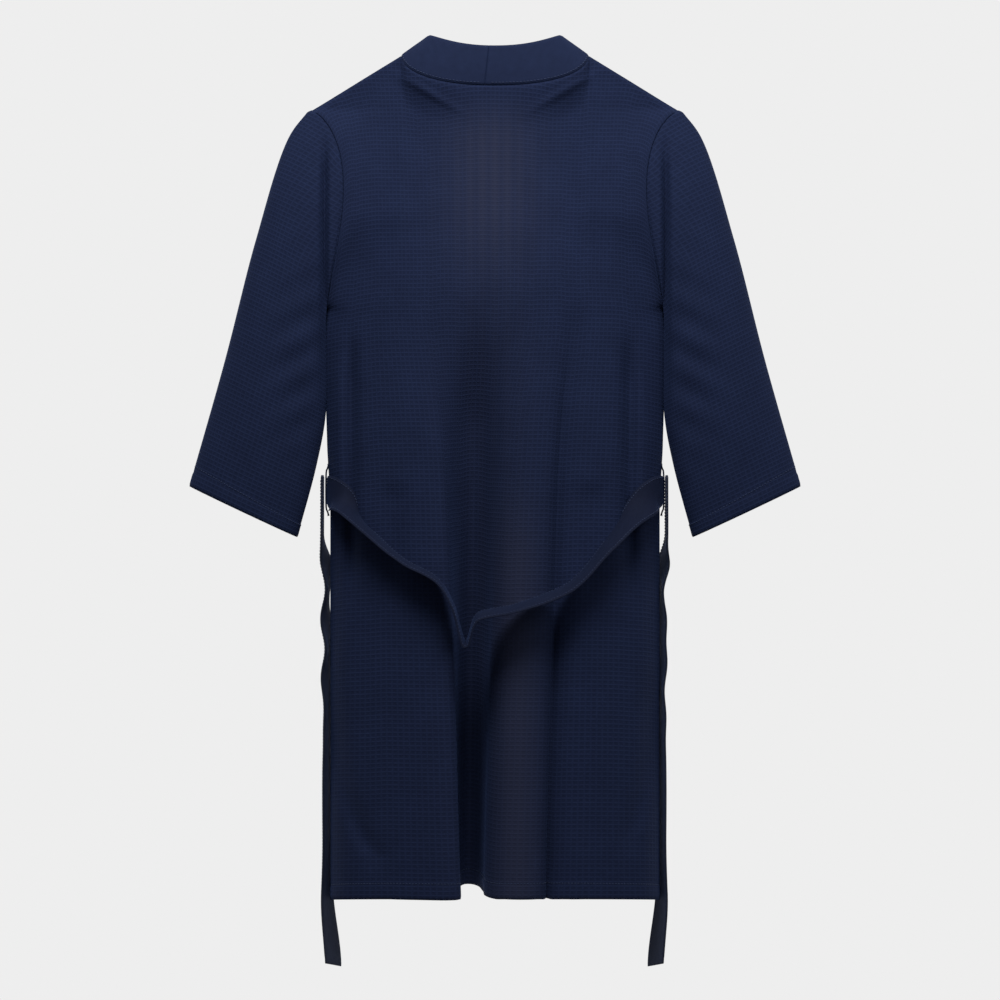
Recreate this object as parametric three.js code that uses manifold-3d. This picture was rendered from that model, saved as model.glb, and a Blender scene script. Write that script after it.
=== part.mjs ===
// A kimono bathrobe of knitted cotton, hanging from its shoulders with its front open and its belt
// run through the two side loops, where it falls in a swag across the back and in a tail at each side.
// Millimetres, +Z up. +X is the wearer's left and the back faces +Y. The origin lies midway between
// the high points of the shoulders, where a hanger carries the robe.
import * as THREE from "three";
import { LoftGeometry } from "three/addons/geometries/LoftGeometry.js";
import { mergeVertices } from "three/addons/utils/BufferGeometryUtils.js";
import Module from "manifold-3d";

const wasm = await Module();
wasm.setup();

const { clamp, degToRad, lerp, smoothstep } = THREE.MathUtils;

// Cloth and seams
const CLOTH = 2.4; // a panel's thickness with the relief of its knit
const SEAM_GAP = 0.4; // between two pieces that are sewn together
const NECK_GAP = 1; // neck seam, where the band stands up from the panels
const SHOULDER_GAP = 0.3; // between back and front where their shoulder and side seams meet
const SEAM_HALF = (CLOTH + SHOULDER_GAP) / 2; // from those seams' plane to the middle of a panel

// Body outline, seen from behind
const NECK_HALF = 112; // neck point of the shoulder seam
const NECK_POINT_Z = 5;
const BACK_NECK_Z = -35; // neck seam at the centre back
const NECK_ROUNDNESS = 2.4; // exponent of the back neckline
const SHOULDER_HALF = 221; // shoulder point, where the sleeve begins
const SHOULDER_Z = -62;
const CHEST_HALF = 202; // side seam under the arm
const UNDERARM_Z = -300;
const WAIST_HALF = 197; // side seam from the belt loops down
const WAIST_Z = -500;
const HEM_Z = -1008;
const ARMHOLE_SCOOP = 34; // how far the armhole curves in from a straight seam
const ARMHOLE_SKEW = 0.62; // lifts the deepest point of the scoop
const SCOOP_FADE = 5; // exponent with which the scoop dies out towards the centre back
const NECK_FADE = 0.15; // share of the back's length over which the neckline's curve dies out

// Body depth, front to back
const NECK_DEPTH = 34; // back neck behind the shoulder seams
const BACK_DEPTH = 64;
const BACK_ROUNDNESS = 2.4;
const FRONT_DEPTH = 46;
const FRONT_FLAT_Z = -190; // below this the open front hangs flat
const CHEST_CORNER = 45; // width over which the front turns back to the side seam
const HEM_CORNER = 22;
const ARMHOLE_HALF_DEPTH = 26;
const ARMHOLE_FLARE = 4; // exponent with which the back spreads towards the armhole

// Neck band, one strip that runs round the neck and down both front edges
const BAND_SEAM_HALF = 115; // its seam on the front
const BAND_EDGE_HALF = 66; // its free edge on the front
const BAND_CORNER_HALF = 78; // its free edge over the shoulder seam
const BAND_CORNER_Z = 29;
const BAND_BACK_Z = 13; // its free edge at the centre back
const BAND_BACK_DEPTH = 28;
const BAND_ROUNDNESS = 0.9; // exponent of its free edge round the neck
const BAND_TURN = 0.02; // share of the front over which it comes down from the shoulder seam
const BAND_CROWDING = 1.4; // draws its rows up towards the neck point

// The front edge turns back along a slanting fold, from the band's free edge down to the hem
const FOLD_TOP_Z = -200;
const FOLD_HEM_HALF = 172;
const FOLD_GAP = 0.6;

// Sleeves
const SLEEVE_GAP = 2.2; // armhole seam, where the sleeve turns against the body
const SLEEVE_BULGE = 8;
const CUFF_HALF_DEPTH = 24;
const SLEEVE_SCOOP_SHARE = 0.3; // share of the length over which the armhole's curve dies out
const UNDERARM_EASE = 1.5; // more gap where the sleeve's seam meets the side seam
// Its two edges as steps out and up from where the armhole seam begins and ends
const OVERARM = [
  [0, 0],
  [24, -33],
  [63, -155],
  [100, -299],
  [143, -451],
];
const UNDERARM = [
  [0, 0],
  [-1, -51],
  [1, -124],
  [10, -185],
  [32, -271],
];

// Belt and its loops
const BELT_WIDTH = 38;
const BELT_THICKNESS = 2.6;
const BELT_Z = -516; // middle of the belt in its loops
const BELT_END = 6; // how far the swag's ends reach through the loops, and lie straight behind them
const BELT_PROUD = 5.5; // clearance between the swag and the back
const BELT_STEPS = 60;
// The swag's route from the left loop to the right one: the share of the waist's half-width, the
// drop below the middle of the loops, and the tilt of the strip's width in degrees
const SWAG_ROUTE = [
  [0.964, 3, 3],
  [0.904, 14, 10],
  [0.802, 40, 25],
  [0.548, 82, 60],
  [0.335, 106, 70],
  [0.244, 136, 72],
  [0.173, 178, 72],
  [0.107, 148, 72],
  [-0.102, 138, 72],
  [-0.447, 112, 66],
  [-0.67, 66, 40],
  [-0.822, 30, 20],
  [-0.904, 12, 10],
  [-0.964, 2, 3],
];
const LOOP_HEIGHT = 62;
const LOOP_WIDTH = 8;
const LOOP_THICKNESS = 1.6;
const LOOP_STANDOFF = 7.2; // from the side seam to the middle of the loop's strap
const LOOP_SEAT = 2.7; // the same at its sewn ends
const BELT_SEAT = 3.1; // from the side seam to the middle of the belt in its loop
// The loop's outline: share of its height, share of the way from its seat to its full stand-off
const LOOP_OUTLINE = [
  [0, 0],
  [0.08, 0.45],
  [0.18, 0.92],
  [0.5, 1],
  [0.82, 0.92],
  [0.92, 0.45],
  [1, 0],
];
const LOOP_STEPS = 20;
const TAIL_TOP_Z = -498;
const TAIL_END_Z = -1092;
const TAIL_FORWARD = 10; // middle of the tail, in front of the side seam
const TAIL_TWIST = 28; // degrees, at the free end
const TAIL_DRIFT = 4; // how far the free end hangs in towards the body
const TAIL_STEPS = 14;

// Inside the back of the neck
const TAPE_HEIGHT = 14;
const TAPE_THICKNESS = 1;
const TAPE_DROP = 2; // from the neck seam to the tape's upper edge
const TAPE_STEPS = 4; // how many of the neck's steps it covers to each side
const HANG_LOOP_WIDTH = 72;
const HANG_LOOP_DROP = 46;
const HANG_LOOP_STRAP = 7;
const HANG_LOOP_THICKNESS = 2;
const HANG_LOOP_CORNER = 9;
const HANG_LOOP_TOP_Z = -42;
const HANG_LOOP_GAP = 0.5; // from the tape's face to the loop, at the loop's outer edges
const LABEL_WIDTH = 44;
const LABEL_HEIGHT = 30;
const LABEL_THICKNESS = 0.8;
const LABEL_DROP = 3; // from the neck seam to its upper edge

// Mesh fineness
const ARMHOLE_ROWS = 8;
const BODY_ROWS = 18;
const NECK_STEPS = 7; // from the centre back to the neck point, on the back, the band and the tape
const FRONT_COLUMNS = 14;
const BAND_ROWS = 25;
const SLEEVE_STEPS = 12;

const cloth = (name, color) =>
  new THREE.MeshStandardMaterial({ name, color, roughness: 0.92, metalness: 0 });
const bodyCloth = cloth("navy_knit", 0x23304c);
const bandCloth = cloth("navy_band", 0x27365a);
const beltCloth = cloth("navy_belt", 0x2b3047);
const tapeCloth = cloth("navy_tape", 0x1d2740);
const labelCloth = cloth("blank_label", 0xc9c8c4);

// ---- The body's shape -------------------------------------------------------------------------

/** 0 at the shoulder point and 1 at the underarm. */
const armholeShare = (z) => clamp((SHOULDER_Z - z) / (SHOULDER_Z - UNDERARM_Z), 0, 1);

const armholeScoop = (share) => ARMHOLE_SCOOP * Math.sin(Math.PI * share ** ARMHOLE_SKEW);

/** Half-width of the body at a height, as if the armhole were straight. */
function straightHalf(z) {
  const share = armholeShare(z);
  if (share < 1) return lerp(SHOULDER_HALF, CHEST_HALF, share);
  return lerp(CHEST_HALF, WAIST_HALF, smoothstep(-z, -UNDERARM_Z, -WAIST_Z));
}

const sideHalf = (z) => straightHalf(z) - armholeScoop(armholeShare(z));

/** Half the armhole's opening from front to back. */
function armholeDepth(z) {
  const share = armholeShare(z);
  return ARMHOLE_HALF_DEPTH * 2 * Math.sqrt(share * (1 - share));
}

/** Height of the shoulder seam. */
const shoulderZ = (x) =>
  lerp(NECK_POINT_Z, SHOULDER_Z, (x - NECK_HALF) / (SHOULDER_HALF - NECK_HALF));

/** How much of its full depth the back neckline has at a distance from the centre. */
const neckShare = (x) =>
  Math.sqrt(Math.max(0, 1 - Math.min(x / NECK_HALF, 1) ** NECK_ROUNDNESS));

const topZ = (x) =>
  x < NECK_HALF ? lerp(NECK_POINT_Z, BACK_NECK_Z, neckShare(x)) : shoulderZ(x);

function backY(x, z) {
  const far = Math.abs(x);
  const across = Math.min(far / sideHalf(z), 1);
  const full = BACK_DEPTH * (1 - across ** BACK_ROUNDNESS);
  const hang = smoothstep(-z, -topZ(far), -UNDERARM_Z);
  const flare = armholeDepth(z) * across ** ARMHOLE_FLARE;
  return SEAM_HALF + lerp(NECK_DEPTH * neckShare(far), full, hang) + flare;
}

function frontY(x, z) {
  const width = lerp(CHEST_CORNER, HEM_CORNER, smoothstep(-z, -UNDERARM_Z, -HEM_Z));
  const corner = clamp((x - sideHalf(z) + width) / width, 0, 1) ** 2;
  const hang = smoothstep(-z, -shoulderZ(Math.max(x, NECK_HALF)), -FRONT_FLAT_Z);
  return -SEAM_HALF - FRONT_DEPTH * hang * (1 - corner) - armholeDepth(z) * corner;
}

/** Height of the side edge at a share of the rows, which crowd together round the armhole. */
function sideZ(v) {
  const arm = ARMHOLE_ROWS / BODY_ROWS;
  if (v < arm) return lerp(SHOULDER_Z, UNDERARM_Z, (1 - Math.cos((Math.PI * v) / arm)) / 2);
  return lerp(UNDERARM_Z, HEM_Z, (v - arm) / (1 - arm));
}

const dropShare = (v) => (SHOULDER_Z - sideZ(v)) / (SHOULDER_Z - HEM_Z);

/** A point of the back neck seam, from the centre back (0) to the neck point (1). */
function neckSeam(share, gap = 0) {
  const turn = (share * Math.PI) / 2;
  const x = NECK_HALF * Math.sin(turn) ** (2 / NECK_ROUNDNESS);
  const z = lerp(NECK_POINT_Z, BACK_NECK_Z, Math.cos(turn));
  const y = SEAM_HALF + NECK_DEPTH * Math.cos(turn);
  return new THREE.Vector3(x + gap * Math.sin(turn), y, z - gap * Math.cos(turn));
}

// ---- Making solids ----------------------------------------------------------------------------

/**
 * A cloth panel: a box of cells whose middle is laid on surface(u, v), with a face half the
 * thickness to each side. The surface's u and v directions turn anticlockwise seen from outside.
 */
function clothPanel(surface, columns, rows, thickness = CLOTH) {
  const geometry = new THREE.BoxGeometry(1, 1, 1, columns, rows, 1);
  const places = geometry.getAttribute("position");
  const step = 1e-4;
  for (let i = 0; i < places.count; i++) {
    const u = clamp(places.getX(i) + 0.5, step, 1 - step);
    const v = clamp(places.getY(i) + 0.5, step, 1 - step);
    const side = Math.sign(places.getZ(i)) / 2;
    const along = surface(u + step, v).sub(surface(u - step, v));
    const down = surface(u, v + step).sub(surface(u, v - step));
    const normal = along.cross(down).normalize();
    const point = surface(u, v).addScaledVector(normal, side * thickness);
    places.setXYZ(i, point.x, point.y, point.z);
  }
  return geometry;
}

/** A strap: a panel along a path, its width lying along widthwise(v). */
function strap(path, widthwise, width, thickness, rows) {
  const surface = (u, v) => {
    const tangent = path.getTangent(v);
    const across = widthwise(v);
    across.addScaledVector(tangent, -across.dot(tangent)).normalize();
    return path.getPoint(v).addScaledVector(across, (u - 0.5) * width);
  };
  return clothPanel(surface, 1, rows, thickness);
}

function toSolid(geometry) {
  const bare = geometry.clone().deleteAttribute("normal").deleteAttribute("uv");
  const merged = mergeVertices(bare, 1e-3);
  const mesh = new wasm.Mesh({
    numProp: 3,
    vertProperties: merged.getAttribute("position").array,
    triVerts: new Uint32Array(merged.index.array),
  });
  return new wasm.Manifold(mesh);
}

function toGeometry(solid) {
  const mesh = solid.getMesh();
  const geometry = new THREE.BufferGeometry();
  geometry.setAttribute("position", new THREE.BufferAttribute(mesh.vertProperties, mesh.numProp));
  geometry.setIndex(new THREE.BufferAttribute(mesh.triVerts, 1));
  geometry.computeVertexNormals();
  return geometry;
}

const robe = new THREE.Group();

function add(parent, name, geometry, material) {
  const mesh = new THREE.Mesh(geometry, material);
  mesh.name = name;
  parent.add(mesh);
}

// ---- Panels -----------------------------------------------------------------------------------

/** The back's top edge from the centre (0) out along the neck seam and the shoulder seam (1). */
function backTop(share) {
  if (share < 0.5) return neckSeam(share * 2, NECK_GAP);
  const x = lerp(NECK_HALF + NECK_GAP, SHOULDER_HALF, share * 2 - 1);
  return new THREE.Vector3(x, 0, shoulderZ(x));
}

function backPanel() {
  const surface = (u, v) => {
    const side = 1 - 2 * u;
    const share = Math.abs(side);
    const top = backTop(share);
    const drop = dropShare(v);
    const z = lerp(top.z, HEM_Z, drop);
    const spread = lerp(top.x / SHOULDER_HALF, share, smoothstep(drop, 0, NECK_FADE));
    const scoop = armholeScoop(armholeShare(sideZ(v))) * share ** SCOOP_FADE;
    const x = Math.sign(side) * (spread * straightHalf(sideZ(v)) - scoop);
    const edge = share > 1 - 0.5 / NECK_STEPS ? sideZ(v) : z;
    return new THREE.Vector3(x, backY(x, edge), z);
  };
  // u runs towards -X and v downwards, so the outside is +Y
  return clothPanel((u, v) => surface(1 - u, v), 4 * NECK_STEPS, BODY_ROWS);
}

function frontPanel() {
  const surface = (u, v) => {
    const topX = lerp(NECK_HALF + NECK_GAP, SHOULDER_HALF, u);
    const z = lerp(shoulderZ(topX), HEM_Z, dropShare(v));
    const settled = smoothstep(-z, -NECK_POINT_Z, -FRONT_FLAT_Z);
    const inner = lerp(NECK_HALF + NECK_GAP, BAND_SEAM_HALF + SEAM_GAP, settled);
    const x = lerp(inner, sideHalf(sideZ(v)), u);
    return new THREE.Vector3(x, frontY(x, u > 1 - 1 / FRONT_COLUMNS ? sideZ(v) : z), z);
  };
  return clothPanel((u, v) => surface(1 - u, v), FRONT_COLUMNS, BODY_ROWS);
}

/** The left half of the band, from the join at the centre back down to the hem. */
function bandStrip() {
  const neck = NECK_STEPS / BAND_ROWS;
  const frontDrop = (v) => ((v - neck) / (1 - neck)) ** BAND_CROWDING;
  const shoulderTurn = (drop) => 2 * SEAM_HALF * (1 - smoothstep(drop, 0, BAND_TURN));
  const seamEdge = (v) => {
    if (v < neck) return neckSeam(v / neck);
    const drop = frontDrop(v);
    const z = lerp(NECK_POINT_Z, HEM_Z, drop);
    const x = lerp(NECK_HALF, BAND_SEAM_HALF, smoothstep(-z, -NECK_POINT_Z, -FRONT_FLAT_Z));
    return new THREE.Vector3(x, frontY(x, z) + shoulderTurn(drop), z);
  };
  const freeEdge = (v) => {
    if (v < neck) {
      const turn = ((v / neck) * Math.PI) / 2;
      const x = BAND_CORNER_HALF * Math.sin(turn) ** BAND_ROUNDNESS;
      const y = SEAM_HALF + BAND_BACK_DEPTH * Math.cos(turn);
      return new THREE.Vector3(x, y, lerp(BAND_CORNER_Z, BAND_BACK_Z, Math.cos(turn) ** 2));
    }
    const drop = frontDrop(v);
    const z = lerp(BAND_CORNER_Z, HEM_Z, drop);
    const settled = smoothstep(-z, -BAND_CORNER_Z, -FRONT_FLAT_Z);
    const x = lerp(BAND_CORNER_HALF, BAND_EDGE_HALF, settled);
    return new THREE.Vector3(x, frontY(x, z) + shoulderTurn(drop), z);
  };
  const surface = (u, v) => {
    const point = freeEdge(v).lerp(seamEdge(v), u);
    point.x += (SEAM_GAP / 2) * Math.max(0, 1 - v / neck);
    return point;
  };
  return clothPanel((u, v) => surface(1 - u, v), 3, BAND_ROWS);
}

/** The half-space on the free side of the fold, moved away from the fold by a gap. */
function foldSide(gap) {
  const top = new THREE.Vector2(BAND_EDGE_HALF, FOLD_TOP_Z);
  const hem = new THREE.Vector2(FOLD_HEM_HALF, HEM_Z);
  const lean = Math.atan2(hem.x - top.x, top.y - hem.y);
  const block = new THREE.BoxGeometry(2 * SHOULDER_HALF, 2 * SHOULDER_HALF, -2 * HEM_Z);
  block.translate(-SHOULDER_HALF - gap, 0, HEM_Z);
  block.rotateY(-lean);
  block.translate(top.x, 0, top.y);
  return toSolid(block);
}

/** Splits a front piece along the fold into the part that stays and the part that turns back. */
function splitAtFold(geometry) {
  const solid = toSolid(geometry);
  const kept = solid.subtract(foldSide(-FOLD_GAP / 2));
  const turned = solid.intersect(foldSide(FOLD_GAP / 2));
  return [toGeometry(kept), toGeometry(turned)];
}

// ---- Sleeve -----------------------------------------------------------------------------------

/** A flat curve that starts at a place and runs through steps from there. */
const edgeFrom = (x, z, steps) =>
  new THREE.SplineCurve(steps.map(([out, up]) => new THREE.Vector2(x + out, z + up)));
const overarm = edgeFrom(SHOULDER_HALF + SLEEVE_GAP, SHOULDER_Z + SEAM_HALF, OVERARM);
const underarm = edgeFrom(
  CHEST_HALF + SLEEVE_GAP + UNDERARM_EASE,
  UNDERARM_Z - SEAM_HALF,
  UNDERARM,
);

/** One ring of the sleeve, at a share of its length, drawn in from the outside by an inset. */
function sleeveRing(along, inset) {
  const top = overarm.getPoint(along);
  const bottom = underarm.getPoint(along);
  const inward = bottom.clone().sub(top).normalize().multiplyScalar(inset);
  top.add(inward);
  bottom.sub(inward);
  const rootDepth = ARMHOLE_HALF_DEPTH + SEAM_HALF + CLOTH / 2;
  const bulge = SLEEVE_BULGE * Math.sin(Math.PI * along);
  const depth = lerp(rootDepth, CUFF_HALF_DEPTH, along) + bulge - inset;
  const scooped = 1 - smoothstep(along, 0, SLEEVE_SCOOP_SHARE);
  return Array.from({ length: 2 * ARMHOLE_ROWS }, (_, i) => {
    const turn = (-Math.PI * i) / ARMHOLE_ROWS;
    const share = (1 - Math.cos(turn)) / 2;
    const x = lerp(top.x, bottom.x, share) - armholeScoop(share) * scooped;
    return new THREE.Vector3(x, depth * Math.sin(turn), lerp(top.y, bottom.y, share));
  });
}

function sleeve() {
  const shares = Array.from({ length: SLEEVE_STEPS + 1 }, (_, i) => i / SLEEVE_STEPS);
  const outside = shares.map((share) => sleeveRing(share, 0));
  const inside = shares.map((share) => sleeveRing(share, CLOTH)).reverse();
  return new LoftGeometry([...outside, ...inside, outside[0]]);
}

// ---- Belt -------------------------------------------------------------------------------------

function beltSwag() {
  const proud = BELT_PROUD + (CLOTH + BELT_THICKNESS) / 2;
  const points = SWAG_ROUTE.map(([share, drop, tilt]) => {
    const x = share * WAIST_HALF;
    const z = BELT_Z - drop;
    const lean = (BELT_WIDTH / 2) * Math.sin(degToRad(tilt));
    return new THREE.Vector3(x, backY(x, z) + proud + lean, z);
  });
  const loopX = WAIST_HALF + BELT_SEAT;
  const ends = (side) => [
    new THREE.Vector3(side * loopX, -BELT_END, BELT_Z),
    new THREE.Vector3(side * loopX, BELT_END, BELT_Z),
  ];
  const path = new THREE.CatmullRomCurve3([...ends(1), ...points, ...ends(-1).reverse()]);
  path.curveType = "centripetal";
  const tilts = [0, 0, ...SWAG_ROUTE.map((place) => place[2]), 0, 0];
  const tiltAt = (v) => {
    const place = v * (tilts.length - 1);
    const before = Math.min(Math.floor(place), tilts.length - 2);
    return degToRad(lerp(tilts[before], tilts[before + 1], place - before));
  };
  const widthwise = (v) => new THREE.Vector3(0, -Math.sin(tiltAt(v)), Math.cos(tiltAt(v)));
  return strap(path, widthwise, BELT_WIDTH, BELT_THICKNESS, BELT_STEPS);
}

const tailX = () => WAIST_HALF + LOOP_STANDOFF + (LOOP_THICKNESS + BELT_THICKNESS) / 2 + 2 * SEAM_GAP;

function beltTail() {
  const top = new THREE.Vector3(tailX(), -TAIL_FORWARD, TAIL_TOP_Z);
  const end = new THREE.Vector3(tailX() - TAIL_DRIFT, -TAIL_FORWARD, TAIL_END_Z);
  const path = new THREE.LineCurve3(top, end);
  const widthwise = (v) => {
    const twist = degToRad(TAIL_TWIST) * smoothstep(v, 0.5, 1);
    return new THREE.Vector3(Math.sin(twist), Math.cos(twist), 0);
  };
  return strap(path, widthwise, BELT_WIDTH, BELT_THICKNESS, TAIL_STEPS);
}

/** A narrow strap on the side seam that bows out to let the belt through. */
function beltLoop() {
  const places = LOOP_OUTLINE.map(([share, standoff]) => {
    const out = lerp(LOOP_SEAT, LOOP_STANDOFF, standoff);
    return new THREE.Vector3(WAIST_HALF + out, 0, BELT_Z + LOOP_HEIGHT * (0.5 - share));
  });
  const path = new THREE.CatmullRomCurve3(places);
  return strap(path, () => new THREE.Vector3(0, 1, 0), LOOP_WIDTH, LOOP_THICKNESS, LOOP_STEPS);
}

// ---- Inside the back of the neck --------------------------------------------------------------

function neckTape() {
  const inward = CLOTH / 2 + 2 * SEAM_GAP + TAPE_THICKNESS / 2;
  const surface = (u, v) => {
    const steps = (2 * u - 1) * TAPE_STEPS;
    const turn = ((steps / NECK_STEPS) * Math.PI) / 2;
    const seam = neckSeam(Math.abs(steps / NECK_STEPS));
    const x = Math.sign(steps) * (seam.x - inward * Math.abs(Math.sin(turn)));
    const y = seam.y - inward * Math.cos(turn);
    return new THREE.Vector3(x, y, seam.z - TAPE_DROP - TAPE_HEIGHT * v);
  };
  return clothPanel((u, v) => surface(1 - u, v), 2 * TAPE_STEPS, 1, TAPE_THICKNESS);
}

/** Inner face of the tape at the first step from the centre back, where label and loop are sewn. */
const tapeFaceY = () => neckSeam(1 / NECK_STEPS).y - CLOTH / 2 - 2 * SEAM_GAP - TAPE_THICKNESS;

/** Inner face of the tape at a distance from the centre back. */
function tapeFaceAt(x) {
  const turn = Math.asin(Math.min(1, x / NECK_HALF) ** (NECK_ROUNDNESS / 2));
  const face = SEAM_HALF + NECK_DEPTH * Math.cos(turn);
  return face - CLOTH / 2 - 2 * SEAM_GAP - TAPE_THICKNESS;
}

function neckLabel() {
  const label = new THREE.BoxGeometry(LABEL_WIDTH, LABEL_THICKNESS, LABEL_HEIGHT);
  const y = tapeFaceY() - LABEL_THICKNESS / 2;
  return label.translate(0, y, BACK_NECK_Z - LABEL_DROP - LABEL_HEIGHT / 2);
}

function hangLoop() {
  const outline = (half, bottom, corner) => {
    const rim = new THREE.Path();
    rim.moveTo(-half, HANG_LOOP_TOP_Z);
    rim.lineTo(-half, bottom + corner);
    rim.absarc(-half + corner, bottom + corner, corner, Math.PI, 1.5 * Math.PI);
    rim.lineTo(half - corner, bottom);
    rim.absarc(half - corner, bottom + corner, corner, 1.5 * Math.PI, 2 * Math.PI);
    rim.lineTo(half, HANG_LOOP_TOP_Z);
    return rim.getPoints(5);
  };
  const half = HANG_LOOP_WIDTH / 2;
  const bottom = HANG_LOOP_TOP_Z - HANG_LOOP_DROP;
  const outer = outline(half, bottom, HANG_LOOP_CORNER);
  const inner = outline(
    half - HANG_LOOP_STRAP,
    bottom + HANG_LOOP_STRAP,
    HANG_LOOP_CORNER - HANG_LOOP_STRAP,
  );
  const shape = new THREE.Shape([...outer, ...inner.reverse()]);
  const options = { depth: HANG_LOOP_THICKNESS, bevelEnabled: false };
  const geometry = new THREE.ExtrudeGeometry(shape, options).rotateX(Math.PI / 2);
  return geometry.translate(0, tapeFaceAt(half) - HANG_LOOP_GAP, 0);
}

// ---- Assembly ---------------------------------------------------------------------------------

add(robe, "back_panel", backPanel(), bodyCloth);
add(robe, "belt_swag", beltSwag(), beltCloth);
add(robe, "neck_tape", neckTape(), tapeCloth);
add(robe, "neck_label", neckLabel(), labelCloth);
add(robe, "hang_loop", hangLoop(), tapeCloth);

const [panelKept, panelTurned] = splitAtFold(frontPanel());
const [bandKept, bandTurned] = splitAtFold(bandStrip());

for (const [sideName, mirror] of [
  ["left", 1],
  ["right", -1],
]) {
  const side = new THREE.Group();
  side.scale.x = mirror;
  robe.add(side);
  add(side, `${sideName}_front_panel`, panelKept, bodyCloth);
  add(side, `${sideName}_front_flap`, panelTurned, bodyCloth);
  add(side, `${sideName}_neck_band`, bandKept, bandCloth);
  add(side, `${sideName}_front_band`, bandTurned, bandCloth);
  add(side, `${sideName}_sleeve`, sleeve(), bodyCloth);
  add(side, `${sideName}_belt_loop`, beltLoop(), beltCloth);
  add(side, `${sideName}_belt_tail`, beltTail(), beltCloth);
}

export default robe;
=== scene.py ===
# A hanging kimono robe: every panel, band and strip is laid out as a grid of cloth in metres, +Z up,
# with the back towards +Y and +X to the wearer's left, and is then given its thickness and its seams.
import math

import bpy
import numpy as np
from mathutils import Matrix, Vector


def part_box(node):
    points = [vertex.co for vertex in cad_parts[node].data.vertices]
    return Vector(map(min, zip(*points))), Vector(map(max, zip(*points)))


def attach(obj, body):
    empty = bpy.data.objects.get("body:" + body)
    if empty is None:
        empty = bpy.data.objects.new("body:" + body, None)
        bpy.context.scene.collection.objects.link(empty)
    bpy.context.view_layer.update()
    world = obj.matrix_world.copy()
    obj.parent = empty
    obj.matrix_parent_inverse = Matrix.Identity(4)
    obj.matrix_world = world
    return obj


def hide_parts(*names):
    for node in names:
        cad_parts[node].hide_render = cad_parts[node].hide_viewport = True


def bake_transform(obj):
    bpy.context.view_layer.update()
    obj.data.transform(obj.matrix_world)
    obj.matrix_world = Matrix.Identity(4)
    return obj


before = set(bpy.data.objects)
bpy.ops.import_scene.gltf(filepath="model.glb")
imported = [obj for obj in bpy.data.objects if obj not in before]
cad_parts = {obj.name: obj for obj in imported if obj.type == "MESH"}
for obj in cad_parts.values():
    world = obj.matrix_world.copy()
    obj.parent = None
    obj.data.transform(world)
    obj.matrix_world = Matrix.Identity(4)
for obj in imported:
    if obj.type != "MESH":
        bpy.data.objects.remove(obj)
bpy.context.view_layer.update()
SIDES = (("left", 1), ("right", -1))

# ---- Sizes --------------------------------------------------------------------------------------

HEM_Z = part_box("left_front_panel")[0].z
TAIL_END_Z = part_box("left_belt_tail")[0].z
TAIL_TOP_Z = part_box("left_belt_tail")[1].z
CLOTH_HALF = 0.0006  # half a single layer of the knit
HEM_DEPTH = 0.019  # from the edge up to the hem's stitches
SEAM_HALF = 0.00135

NECK_HALF = 0.112
NECK_POINT_Z = 0.005
BACK_NECK_Z = -0.035
NECK_ROUNDNESS = 2.4
SHOULDER_HALF = 0.221
SHOULDER_Z = -0.062
CHEST_HALF = 0.202
UNDERARM_Z = -0.3
WAIST_HALF = 0.197
WAIST_Z = -0.5
ARMHOLE_SCOOP = 0.034
ARMHOLE_SKEW = 0.62
SCOOP_FADE = 5
NECK_FADE = 0.15

NECK_DEPTH = 0.034
BACK_DEPTH = 0.064
BACK_ROUNDNESS = 2.4
FRONT_DEPTH = 0.046
FRONT_FLAT_Z = -0.19
CHEST_CORNER = 0.045
HEM_CORNER = 0.022
ARMHOLE_HALF_DEPTH = 0.026
ARMHOLE_FLARE = 4

BAND_SEAM_HALF = 0.115
BAND_EDGE_HALF = 0.066
BAND_CORNER_HALF = 0.078
BAND_CORNER_Z = 0.029
BAND_BACK_Z = 0.013
BAND_BACK_DEPTH = 0.028
BAND_ROUNDNESS = 0.9
BAND_HALF = 0.0013  # half the thickness of the folded band
BAND_NECK_SHARE = 0.28  # share of a band's rows that go round the neck
FOLD_TOP = (0.066, -0.2)
FOLD_HEM = (0.172, HEM_Z)

BELT_Z = -0.516
BELT_HALF = 0.019
BELT_PROUD = 0.0055
TAIL_X = WAIST_HALF + 0.0103
WAFFLE = 0.006  # one cell of the knit


# ---- Numbers ------------------------------------------------------------------------------------


def lerp(a, b, share):
    return a + (b - a) * share


def smooth(x, low, high):
    """0 below low and 1 above high, with an even turn between."""
    share = np.clip((x - low) / (high - low), 0, 1)
    return share * share * (3 - 2 * share)


def bell(x, middle, width):
    return np.exp(-(((x - middle) / width) ** 2))


def power(base, exponent):
    return np.power(np.maximum(base, 0), exponent)


def spread(columns, rows):
    """The shares across and down of a grid of cloth, as two tables."""
    return np.meshgrid(np.linspace(0, 1, columns + 1), np.linspace(0, 1, rows + 1))


def spline(points, share):
    """A smooth curve through points, read at shares of its length from 0 to 1."""
    points = np.array(points, float)
    steps = np.linalg.norm(np.diff(points, axis=0), axis=1) ** 0.5
    knots = np.concatenate([[0], np.cumsum(steps)])
    slopes = np.gradient(points, knots, axis=0)
    place = np.clip(share, 0, 1) * knots[-1]
    i = np.clip(np.searchsorted(knots, place, side="right") - 1, 0, len(steps) - 1)
    width = steps[i][..., None]
    t = ((place - knots[i]) / steps[i])[..., None]
    return (
        points[i] * (2 * t**3 - 3 * t**2 + 1)
        + slopes[i] * width * (t**3 - 2 * t**2 + t)
        + points[i + 1] * (3 * t**2 - 2 * t**3)
        + slopes[i + 1] * width * (t**3 - t**2)
    )


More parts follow.
